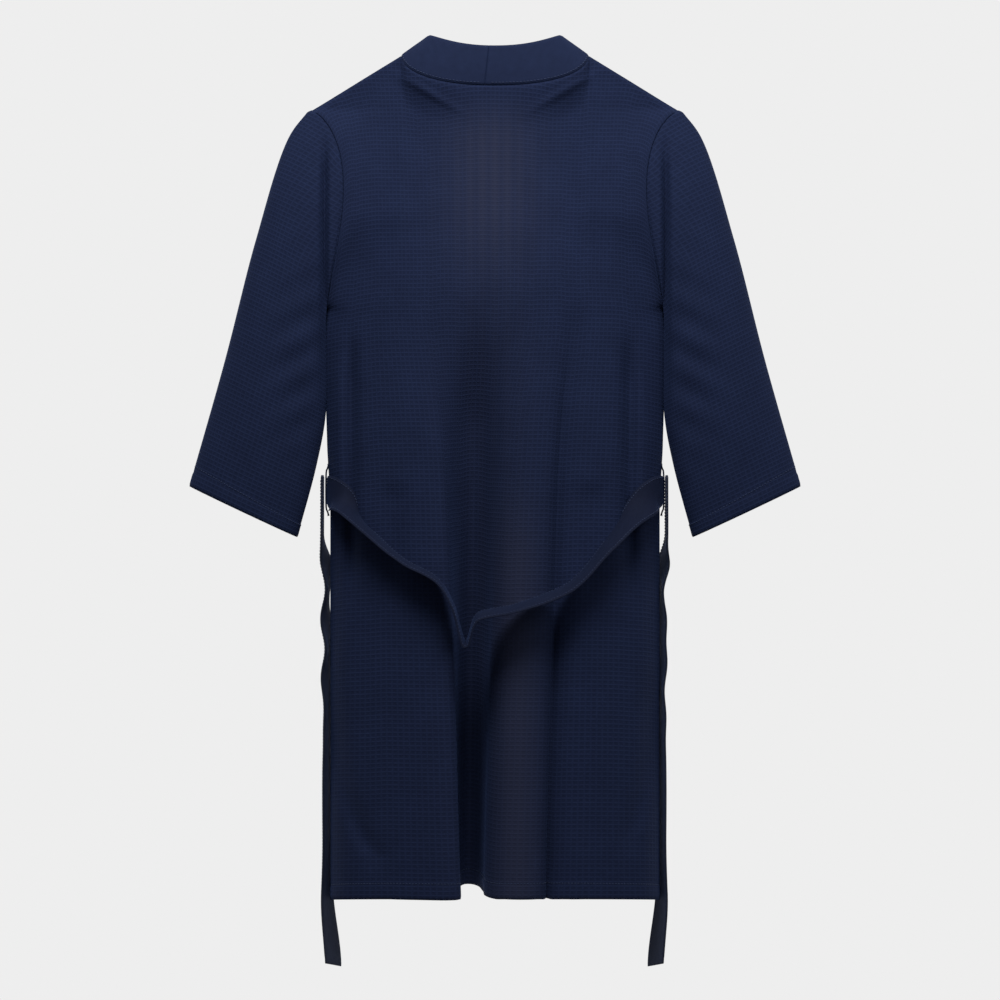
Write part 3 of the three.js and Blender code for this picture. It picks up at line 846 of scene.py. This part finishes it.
# The sleeve's upper and lower edges, from the armhole to the cuff: how far out, and how high.
OVERARM = [
    (0.2232, -0.06065),
    (0.2472, -0.09365),
    (0.2862, -0.21565),
    (0.3232, -0.35965),
    (0.3662, -0.51165),
]
UNDERARM = [
    (0.2047, -0.30135),
    (0.2027, -0.35235),
    (0.2037, -0.42535),
    (0.2147, -0.48635),
    (0.2377, -0.57235),
]
SLEEVE_FLAT = (0.42, 0.46)
ROOT_DEPTH = 0.0277
CUFF_DEPTH = 0.024
SLEEVE_BULGE = 0.008
SCOOP_SHARE = 0.3


def sleeve_grid(columns, rows):
    u, along = spread(columns, rows)
    turn = 2 * math.pi * u
    top = spline(OVERARM, along)
    bottom = spline(UNDERARM, along)
    share = (1 - np.cos(turn)) / 2
    scooped = 1 - smooth(along, 0, SCOOP_SHARE)
    x = lerp(top[..., 0], bottom[..., 0], share) - armhole_scoop(share) * scooped
    z = lerp(top[..., 1], bottom[..., 1], share)
    depth = lerp(ROOT_DEPTH, CUFF_DEPTH, along) + SLEEVE_BULGE * np.sin(math.pi * along)
    depth = depth - 0.0016 * bell(along, 0, 0.012)
    y = depth * np.sin(turn)
    crease = smooth(-z, 0.08, 0.15) * (1 - smooth(-z, 0.37, 0.45))
    y = y * (1 - 0.42 * crease * bell(x, 0.2035, 0.0042))
    soft = smooth(along, 0.08, 0.3)
    y = y + soft * 0.0020 * np.sign(y) * ripple(x * 0.8 + 0.25 * z, z * 1.6, 31) * np.abs(np.sin(turn))
    elbow = bell(z, -0.36, 0.10) * bell(x, 0.232, 0.030)
    y = y - np.sign(y) * 0.0035 * elbow * (0.5 + 0.5 * np.sin((z + 0.5 * x) * 150)) * np.abs(np.sin(turn))
    x = x - 0.0026 * (1 - smooth(along, 0, 0.012))
    return np.stack([x, y, z], -1), u, along


def make_sleeve(name, side):
    middle, u, along = sleeve_grid(128, 150)
    run = run_down(middle)
    middle = mirror_if(middle, side)
    run, u = turned(run, side), turned(u, side)
    half = hem_relief(run[-1] - run) * rounded(along, 0.003)
    uv = np.stack([u * SLEEVE_FLAT[0], run[-1] - run], -1)
    piece = layered(f"{name}_sleeve_cloth", middle, half, uv, ring=True)
    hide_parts(f"{name}_sleeve")
    finish_piece(piece, KNIT)
    line, facing = row_line(middle, half, run[-1] - run, HEM_DEPTH)
    hem = stitches(f"{name}_cuff_stitches", line, facing)
    finish_piece(hem, THREAD)
    for each in (piece, hem):
        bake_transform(each)


# ---- Belt ---------------------------------------------------------------------------------------

# The swag from the left loop to the right one: how far across, how far below the loops, and the
# tilt of its width in degrees.
SWAG_ROUTE = [
    (0.190, 0.006, 20),
    (0.178, 0.018, 52),
    (0.158, 0.040, 74),
    (0.108, 0.082, 83),
    (0.066, 0.106, 84),
    (0.048, 0.136, 82),
    (0.034, 0.178, 78),
    (0.021, 0.148, 78),
    (-0.020, 0.138, 78),
    (-0.088, 0.112, 74),
    (-0.132, 0.066, 66),
    (-0.162, 0.032, 50),
    (-0.178, 0.016, 36),
    (-0.190, 0.005, 14),
]
BELT_SEAT_X = WAIST_HALF + 0.0031
BELT_END = 0.006
BELT_LAYER = 0.0012  # half the thickness of the folded strip


def strip_middle(path, width_way, half_width, columns, curl):
    """A grid along a path: width_way says where its width points, and curl lifts its two edges."""
    tangent = np.gradient(path, axis=0)
    tangent /= np.linalg.norm(tangent, axis=1, keepdims=True)
    way = width_way - tangent * (width_way * tangent).sum(1, keepdims=True)
    way /= np.linalg.norm(way, axis=1, keepdims=True)
    out = np.cross(tangent, way)
    place = np.linspace(-1, 1, columns + 1)
    reach = np.broadcast_to(half_width, (len(path),))[:, None] * place
    lift = curl[:, None] * (place**2)[None, :]
    return path[:, None] + way[:, None] * reach[..., None] + out[:, None] * lift[..., None]


def strip(name, middle, half, material):
    rows, columns = middle.shape[:2]
    v, u = np.meshgrid(np.linspace(0, 1, rows), np.linspace(0, 1, columns), indexing="ij")
    width = np.linalg.norm(middle[:, -1] - middle[:, 0], axis=1).mean()
    run = run_down(middle)
    thick = half * rounded(u, 0.07) * rounded(v, 0.003)
    piece = layered(name, middle, thick, np.stack([u * width, -run], -1))
    finish_piece(piece, material)
    return piece, thick


def edge_rows(name, middle, thick):
    """Rows of stitches along both edges of a strip, one column of its grid in."""
    facing = normals_of(middle)
    made = []
    for tag, column in (("a", 1), ("b", middle.shape[1] - 2)):
        line = middle[:, column] + facing[:, column] * thick[:, column][:, None]
        row = stitches(f"{name}_stitches_{tag}", line[2:-2], facing[2:-2, column], width=0.0005)
        made.append(finish_piece(row, THREAD))
    return made


def make_swag():
    route = np.array(SWAG_ROUTE)
    x, z = route[:, 0], BELT_Z - route[:, 1]
    tilt = np.radians(route[:, 2])
    opening = fold_opening(z)
    y = back_y(x, z) + BELT_PROUD + 0.0025 + 0.010 * opening + BELT_HALF * np.sin(tilt)
    points = np.stack([x, y, z], -1)
    left_end = [[BELT_SEAT_X, -BELT_END, BELT_Z], [BELT_SEAT_X, BELT_END, BELT_Z]]
    right_end = [[-BELT_SEAT_X, BELT_END, BELT_Z], [-BELT_SEAT_X, -BELT_END, BELT_Z]]
    points = np.concatenate([left_end, points, right_end])
    tilts = np.concatenate([[0, 0], tilt, [0, 0]])
    share = np.linspace(0, 1, 300)
    path = spline(points, share)
    steps = np.concatenate([[0], np.cumsum(np.linalg.norm(np.diff(points, axis=0), axis=1) ** 0.5)])
    lean = np.interp(share, steps / steps[-1], tilts)
    way = np.stack([np.zeros_like(lean), -np.sin(lean), np.cos(lean)], -1)
    curl = 0.0022 * np.sin(lean) + 0.0006 * ripple(path[:, 0] * 2, path[:, 2], 5)
    gathered = 1 - 0.28 * (bell(share, 0, 0.035) + bell(share, 1, 0.035))
    middle = strip_middle(path, way, BELT_HALF * gathered, 14, -curl)
    piece, thick = strip("belt_swag_cloth", middle, BELT_LAYER, BELT_KNIT)
    rows = edge_rows("belt_swag", middle, thick)
    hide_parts("belt_swag")
    for each in (piece, *rows):
        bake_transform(each)


def make_tail(name, side):
    share = np.linspace(0, 1, 240)
    z = lerp(TAIL_TOP_Z, TAIL_END_Z, share)
    crumple = smooth(-z, 0.56, 0.61) * (1 - smooth(-z, 0.70, 0.86))
    sway = 0.0026 * crumple * ripple(z * 1.1, z * 0, 41 + side) + 0.0008 * ripple(z * 0.4, z * 0, 47)
    x = TAIL_X - 0.0060 * smooth(share, 0.12, 0.20) - 0.0070 * smooth(share, 0.84, 1) + sway
    path = np.stack([side * x, np.full_like(z, -0.010), z], -1)
    unrest = 14 * crumple * ripple(z * 0.9, z * 0, 51 + side)
    lean = 12 * smooth(share, 0.11, 0.20) + 15 * smooth(share, 0.72, 1) + unrest
    twist = np.radians(lean)
    way = np.stack([side * np.sin(twist), np.cos(twist), np.zeros_like(twist)], -1)
    curl = 0.0025 * crumple * ripple(z * 0.7, z * 0, 61) + 0.0008
    middle = strip_middle(path, way, BELT_HALF, 14, curl)
    slant = np.linspace(0, 1, middle.shape[1])[None, :] * smooth(share, 0.96, 1)[:, None]
    middle[..., 2] += 0.009 * slant
    # The tail's knit is the belt's knit painted lighter, as painted light.
    piece, thick = strip(f"{name}_belt_tail_cloth", middle, BELT_LAYER, PAINTED_LIGHTER_TAIL_KNIT)
    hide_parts(f"{name}_belt_tail")
    rows = edge_rows(f"{name}_belt_tail", middle, thick)
    for each in (piece, *rows):
        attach(each, f"{name}_belt_tail")


LOOP_HEIGHT = 0.062
LOOP_OUTLINE = [(0, 0), (0.08, 0.45), (0.18, 0.92), (0.5, 1), (0.82, 0.92), (0.92, 0.45), (1, 0)]


def make_belt_loop(name, side):
    share = np.linspace(0, 1, 90)
    outline = spline(LOOP_OUTLINE, share)
    x = WAIST_HALF + lerp(0.0022, 0.0057, outline[:, 1])
    z = BELT_Z + LOOP_HEIGHT * (0.5 - outline[:, 0])
    path = np.stack([side * x, np.zeros_like(x), z], -1)
    way = np.tile([0.0, 1.0, 0.0], (len(path), 1))
    middle = strip_middle(path, way, 0.004, 10, np.full(len(path), 0.0003))
    piece, thick = strip(f"{name}_belt_loop_cloth", middle, 0.0008, BELT_KNIT)
    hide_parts(f"{name}_belt_loop")
    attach(piece, "robe_body")
    for tag, row in (("top", 3), ("low", -4)):
        out = np.array([side, 0.0, 0.0])
        line = (middle[row] + out * 0.0009)[1:-1]
        facing = np.tile(out, (len(line), 1))
        for k, offset in enumerate((-0.001, 0.0, 0.001)):
            place = line + np.array([0, 0, offset])
            tack = stitches(f"{name}_loop_tack_{tag}_{k}", place, facing, 0.0011, 0.0003)
            finish_piece(tack, THREAD, "robe_body")


# ---- Inside the back of the neck ----------------------------------------------------------------

TAPE_REACH = 4 / 7  # share of the neck seam it covers to each side
TAPE_HEIGHT = 0.014
TAPE_DROP = 0.002
TAPE_INWARD = 0.0025


def make_tape():
    u, v = spread(120, 10)
    share = (2 * u - 1) * TAPE_REACH
    turn = np.abs(share) * math.pi / 2
    seam = neck_seam(np.abs(share))
    x = np.sign(share) * (seam[..., 0] - TAPE_INWARD * np.sin(turn))
    y = seam[..., 1] - TAPE_INWARD * np.cos(turn)
    middle = np.stack([x, y, seam[..., 2] - TAPE_DROP - TAPE_HEIGHT * v], -1)
    half = 0.0005 * rounded(v, 0.06) * rounded(u, 0.004)
    run = np.linalg.norm(np.diff(middle, axis=1), axis=-1).cumsum(1)
    across = np.concatenate([np.zeros((middle.shape[0], 1)), run], 1)
    piece = layered("neck_tape_cloth", middle, half, np.stack([across, -v * TAPE_HEIGHT], -1))
    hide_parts("neck_tape")
    finish_piece(piece, TAPE, "robe_body")
    facing = normals_of(middle)
    for tag, row in (("upper", 1), ("lower", 9)):
        line = middle[row] - facing[row] * 0.0005
        made = stitches(f"neck_tape_stitches_{tag}", line[1:-1], facing[row][1:-1])
        finish_piece(made, THREAD, "robe_body")


def make_label():
    low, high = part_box("neck_label")
    u, v = spread(44, 30)
    x = lerp(low.x, high.x, u)
    z = lerp(high.z, low.z, v)
    wave = 0.0004 * np.sin(u * 9) * v
    y = np.full_like(x, (low.y + high.y) / 2) - wave
    middle = np.stack([x, y, z], -1)
    half = 0.00035 * rounded(u, 0.02) * rounded(v, 0.03)
    piece = layered("neck_label_cloth", middle, half, np.stack([x, z], -1))
    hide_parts("neck_label")
    finish_piece(piece, LABEL, "robe_body")
    for tag, column in (("left", 2), ("right", 42)):
        line = middle[2:-2, column] + np.array([0, -0.0004, 0])
        made = stitches(f"neck_label_stitches_{tag}", line, np.tile([0.0, -1.0, 0.0], (len(line), 1)))
        finish_piece(made, THREAD, "robe_body")


HANG_LOOP_HALF = 0.0035
HANG_LOOP_TURN = 0.0055  # how round its two lower corners are


def make_hang_loop():
    low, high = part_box("hang_loop")
    half_width, turn = HANG_LOOP_HALF, HANG_LOOP_TURN
    left, right = low.x + half_width, high.x - half_width
    bottom, y = low.z + half_width, (low.y + high.y) / 2
    corner = np.linspace(0, math.pi / 2, 14)
    path = [(left, high.z - 0.0002), (left, high.z - 0.012), (left, bottom + turn + 0.006)]
    path += [(left + turn - turn * math.cos(a), bottom + turn - turn * math.sin(a)) for a in corner]
    path += [(0.0, bottom + 0.0004)]
    path += [(right - turn + turn * math.sin(a), bottom + turn - turn * math.cos(a)) for a in corner]
    path += [(right, bottom + turn + 0.006), (right, high.z - 0.012), (right, high.z - 0.0002)]
    flat = evenly(path, np.linspace(0, 1, 150))
    line = np.stack([flat[:, 0], np.full(len(flat), y), flat[:, 1]], -1)
    tangent = np.gradient(line, axis=0)
    way = np.cross(tangent, np.array([0.0, 1.0, 0.0]))
    middle = strip_middle(line, way, half_width, 10, np.full(len(line), 0.0003))
    piece, thick = strip("hang_loop_cloth", middle, 0.0009, TAPE)
    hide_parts("hang_loop")
    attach(piece, "hang_loop")
    length = float(np.linalg.norm(np.diff(line, axis=0), axis=1).sum())
    rows = edge_rows("hang_loop", middle, thick)
    for each in rows:
        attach(each, "hang_loop")
    flat, area, rests = (0.01, length), 2 * HANG_LOOP_HALF * length, ["neck_tape_cloth"]


# ---- Floor, lights and camera -------------------------------------------------------------------

FLOOR_Z = -1.25
BACKDROP = 0.855
# How bright the surroundings are by height, from straight down (-1) to straight up (1), and by
# direction, from ahead of the camera (-1) to behind it (1).
BACKDROP_UP = [(-1.0, 0.15), (-0.45, 0.45), (-0.2, 1.0), (0.2, 1.0), (0.5, 0.9), (1.0, 1.0)]
BACKDROP_ROUND = [(-1.0, 1.0), (-0.2, 1.0), (0.15, 0.33), (1.0, 0.27)]


def make_floor():
    """A pale floor that fades out into the backdrop a little way from the robe."""
    bpy.ops.object.select_all(action="DESELECT")
    bpy.ops.mesh.primitive_circle_add(vertices=96, radius=0.75, fill_type="NGON", location=(0, 0, FLOOR_Z))
    floor = bpy.context.object
    floor.name = "floor"
    nodes = Nodes("pale_floor")
    place = nodes.add("ShaderNodeTexCoord").outputs["Object"]
    length = nodes.add("ShaderNodeVectorMath", operation="LENGTH")
    nodes.link(place, length.inputs[0])
    fade = nodes.ramp(length.outputs["Value"], 0.74, 0.1)
    fade = nodes.math("MULTIPLY", fade, fade)
    dust = nodes.mix(nodes.noise(place, 60, 4), (0.64, 0.64, 0.64), (0.68, 0.68, 0.68))
    nodes.link(dust, nodes.shader.inputs["Base Color"])
    nodes.link(fade, nodes.shader.inputs["Alpha"])
    nodes.shader.inputs["Roughness"].default_value = 0.9
    floor.data.materials.append(nodes.material)


def make_backdrop():
    """Pale all round at eye height, brighter above, and darker below and where the camera stands."""
    world = bpy.data.worlds.new("studio")
    bpy.context.scene.world = world
    world.use_nodes = True
    tree = world.node_tree
    way = tree.nodes.new("ShaderNodeTexCoord").outputs["Generated"]
    parts = tree.nodes.new("ShaderNodeSeparateXYZ")
    tree.links.new(way, parts.inputs[0])
    light = None
    for axis, steps in ((2, BACKDROP_UP), (1, BACKDROP_ROUND)):
        ramp = tree.nodes.new("ShaderNodeValToRGB")
        half = tree.nodes.new("ShaderNodeMath")
        half.operation = "MULTIPLY_ADD"
        half.inputs[1].default_value = 0.5
        half.inputs[2].default_value = 0.5
        tree.links.new(parts.outputs[axis], half.inputs[0])
        tree.links.new(half.outputs[0], ramp.inputs[0])
        band = ramp.color_ramp
        while len(band.elements) < len(steps):
            band.elements.new(0.5)
        for element, (height, grey) in zip(band.elements, steps):
            element.position = (height + 1) / 2
            element.color = (grey, grey, grey, 1)
        if light is None:
            light = ramp.outputs[0]
            continue
        both = tree.nodes.new("ShaderNodeMix")
        both.data_type, both.blend_type = "RGBA", "MULTIPLY"
        both.inputs[0].default_value = 1
        tree.links.new(light, both.inputs[6])
        tree.links.new(ramp.outputs[0], both.inputs[7])
        light = both.outputs[2]
    back = tree.nodes["Background"]
    tree.links.new(light, back.inputs["Color"])
    back.inputs["Strength"].default_value = BACKDROP


def softbox(name, place, target, size, power_w):
    lamp = bpy.data.lights.new(name, "AREA")
    lamp.shape = "RECTANGLE"
    lamp.size, lamp.size_y = size
    lamp.energy = power_w
    made = bpy.data.objects.new(name, lamp)
    bpy.context.scene.collection.objects.link(made)
    made.location = place
    aim = np.array(target) - np.array(place)
    made.rotation_euler = Vector(aim).to_track_quat("-Z", "Y").to_euler()


def make_camera():
    lens = bpy.data.cameras.new("camera")
    lens.lens = 108
    lens.sensor_width = 36
    lens.clip_start = 0.05
    camera = bpy.data.objects.new("camera", lens)
    bpy.context.scene.collection.objects.link(camera)
    camera.location = (-0.006, 3.6, -0.528)
    camera.rotation_euler = (math.pi / 2, 0, math.pi)
    bpy.context.scene.camera = camera


make_camera()
make_back()
for name, side in SIDES:
    make_front(name, side)
    make_band(name, side)
    make_sleeve(name, side)
    make_belt_loop(name, side)
    make_tail(name, side)
make_swag()
make_tape()
make_label()
make_hang_loop()
make_floor()
make_backdrop()
softbox("key", (0.15, 1.25, 1.15), (0, 0, -0.1), (1.3, 0.8), 48)
softbox("fill", (-1.5, 1.5, 0.5), (0, 0, -0.3), (1.0, 1.0), 12)
bpy.context.scene.view_settings.view_transform = "Standard"
